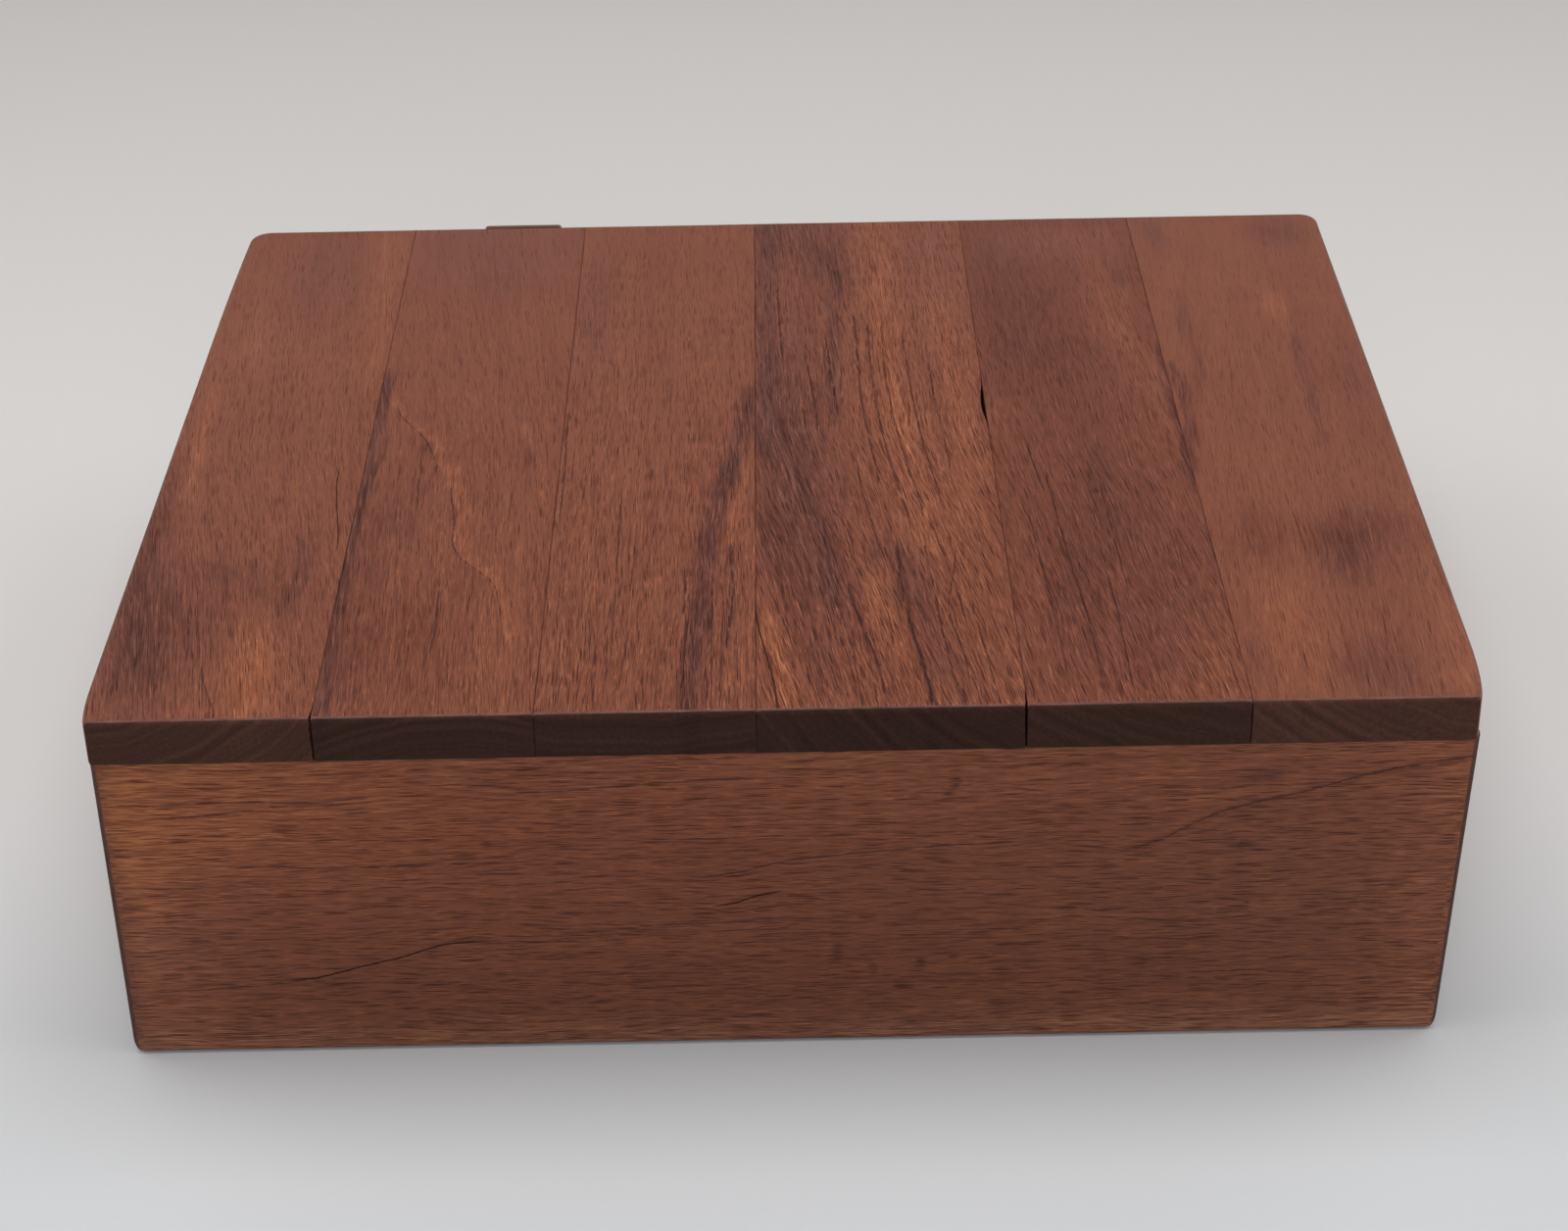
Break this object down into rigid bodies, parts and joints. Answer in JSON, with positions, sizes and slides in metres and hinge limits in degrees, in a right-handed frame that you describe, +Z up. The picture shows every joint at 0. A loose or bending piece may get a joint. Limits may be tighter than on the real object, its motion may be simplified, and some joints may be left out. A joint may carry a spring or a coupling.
{
  "type": "trinket box",
  "caption": "Small rectangular hardwood trinket box with an edge-glued board lid, lapped corners, a grooved-in bottom and small butt hinges at the back.",
  "frame": {"origin": "on the table, under the middle of the closed box's bounding box, hinge barrels included", "axes": "+X to the right along the front, the longest side; +Y to the back, where the hinges are; +Z up, the shortest side"},
  "size_m": [0.178, 0.1554, 0.0532],
  "materials": {
    "lid_wood": "oiled reddish-brown hardwood, satin, end grain darker",
    "wall_wood": "oiled reddish-brown hardwood, satin, grain along the board",
    "bottom_wood": "plain sanded hardwood, matte",
    "hinge_brass": "darkened brass, worn brighter on the barrel",
    "screw_brass": "darkened brass, slotted heads"
  },
  "bodies": {
    "box": {"front_board": "wall_wood", "back_board": "wall_wood", "left_side_board": "wall_wood", "right_side_board": "wall_wood", "bottom_panel": "bottom_wood", "left_hinge_body_leaf": "hinge_brass", "left_hinge_pin": "hinge_brass", "left_hinge_body_screw_1": "screw_brass", "left_hinge_body_screw_2": "screw_brass", "right_hinge_body_leaf": "hinge_brass", "right_hinge_pin": "hinge_brass", "right_hinge_body_screw_1": "screw_brass", "right_hinge_body_screw_2": "screw_brass"},
    "lid": {"lid_board_1": "lid_wood", "lid_board_2": "lid_wood", "lid_board_3": "lid_wood", "lid_board_4": "lid_wood", "lid_board_5": "lid_wood", "lid_board_6": "lid_wood", "left_hinge_lid_leaf": "hinge_brass", "left_hinge_lid_screw_1": "screw_brass", "left_hinge_lid_screw_2": "screw_brass", "right_hinge_lid_leaf": "hinge_brass", "right_hinge_lid_screw_1": "screw_brass", "right_hinge_lid_screw_2": "screw_brass"}
  },
  "joints": [
    {"name": "lid_hinge", "type": "hinge", "parent": "box", "child": "lid", "pos_m": [0, 0.07602, 0.04668], "axis": [-1, 0, 0], "range_deg": [0, 190]}
  ]
}
